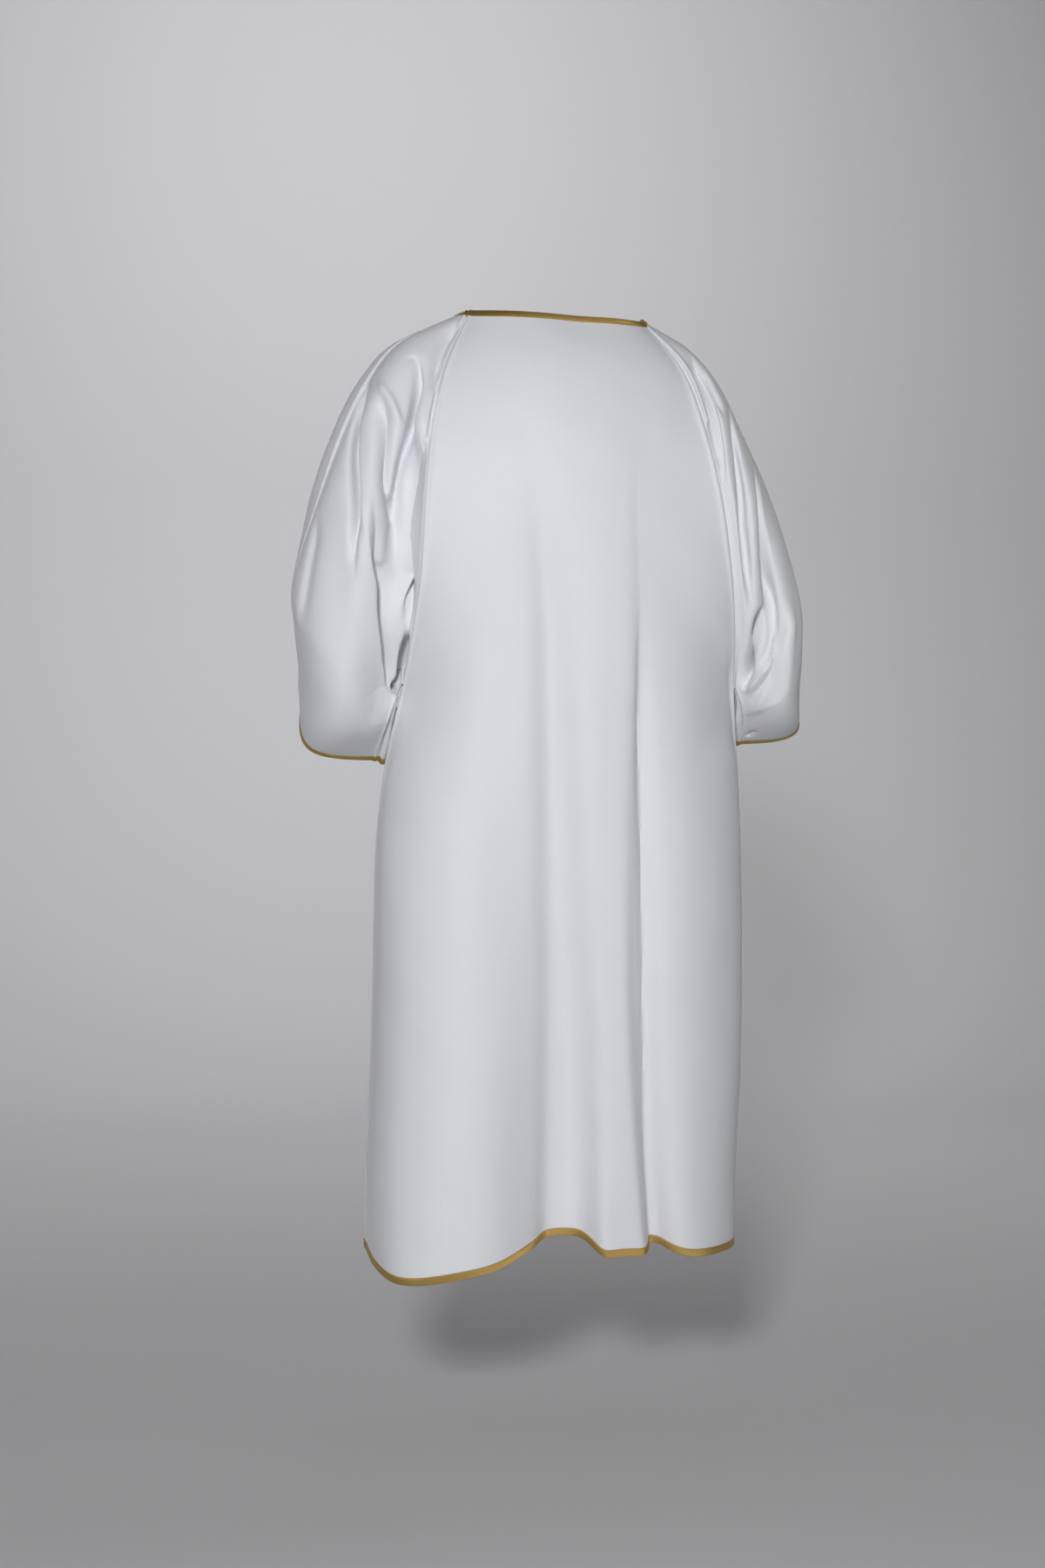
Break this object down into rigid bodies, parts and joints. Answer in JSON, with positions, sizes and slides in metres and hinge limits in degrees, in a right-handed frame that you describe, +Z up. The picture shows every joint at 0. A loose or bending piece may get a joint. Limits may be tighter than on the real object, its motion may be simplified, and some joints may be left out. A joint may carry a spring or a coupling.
{
  "type": "dalmatic",
  "caption": "Long white liturgical tunic with wide raglan sleeves, hollow in its worn pose, edged at neck, cuffs and hem with gold braid.",
  "frame": {"origin": "between the wearer's shoulders, at the height of the neck edge, where the garment is held", "axes": "+Z up, front of the garment faces -Y, wearer's left sleeve on +X"},
  "size_m": [0.7002, 0.356, 1.2536],
  "materials": {
    "white_cloth": "plain white polyester weave with a soft satin sheen",
    "gold_braid": "woven metallic gold thread, diagonal ribs"
  },
  "bodies": {
    "root": {"back_panel": "white_cloth", "front_panel": "white_cloth", "left_sleeve_back": "white_cloth", "left_sleeve_front": "white_cloth", "right_sleeve_back": "white_cloth", "right_sleeve_front": "white_cloth", "neck_braid": "gold_braid", "hem_braid": "gold_braid", "left_cuff_braid": "gold_braid", "right_cuff_braid": "gold_braid"}
  },
  "joints": []
}
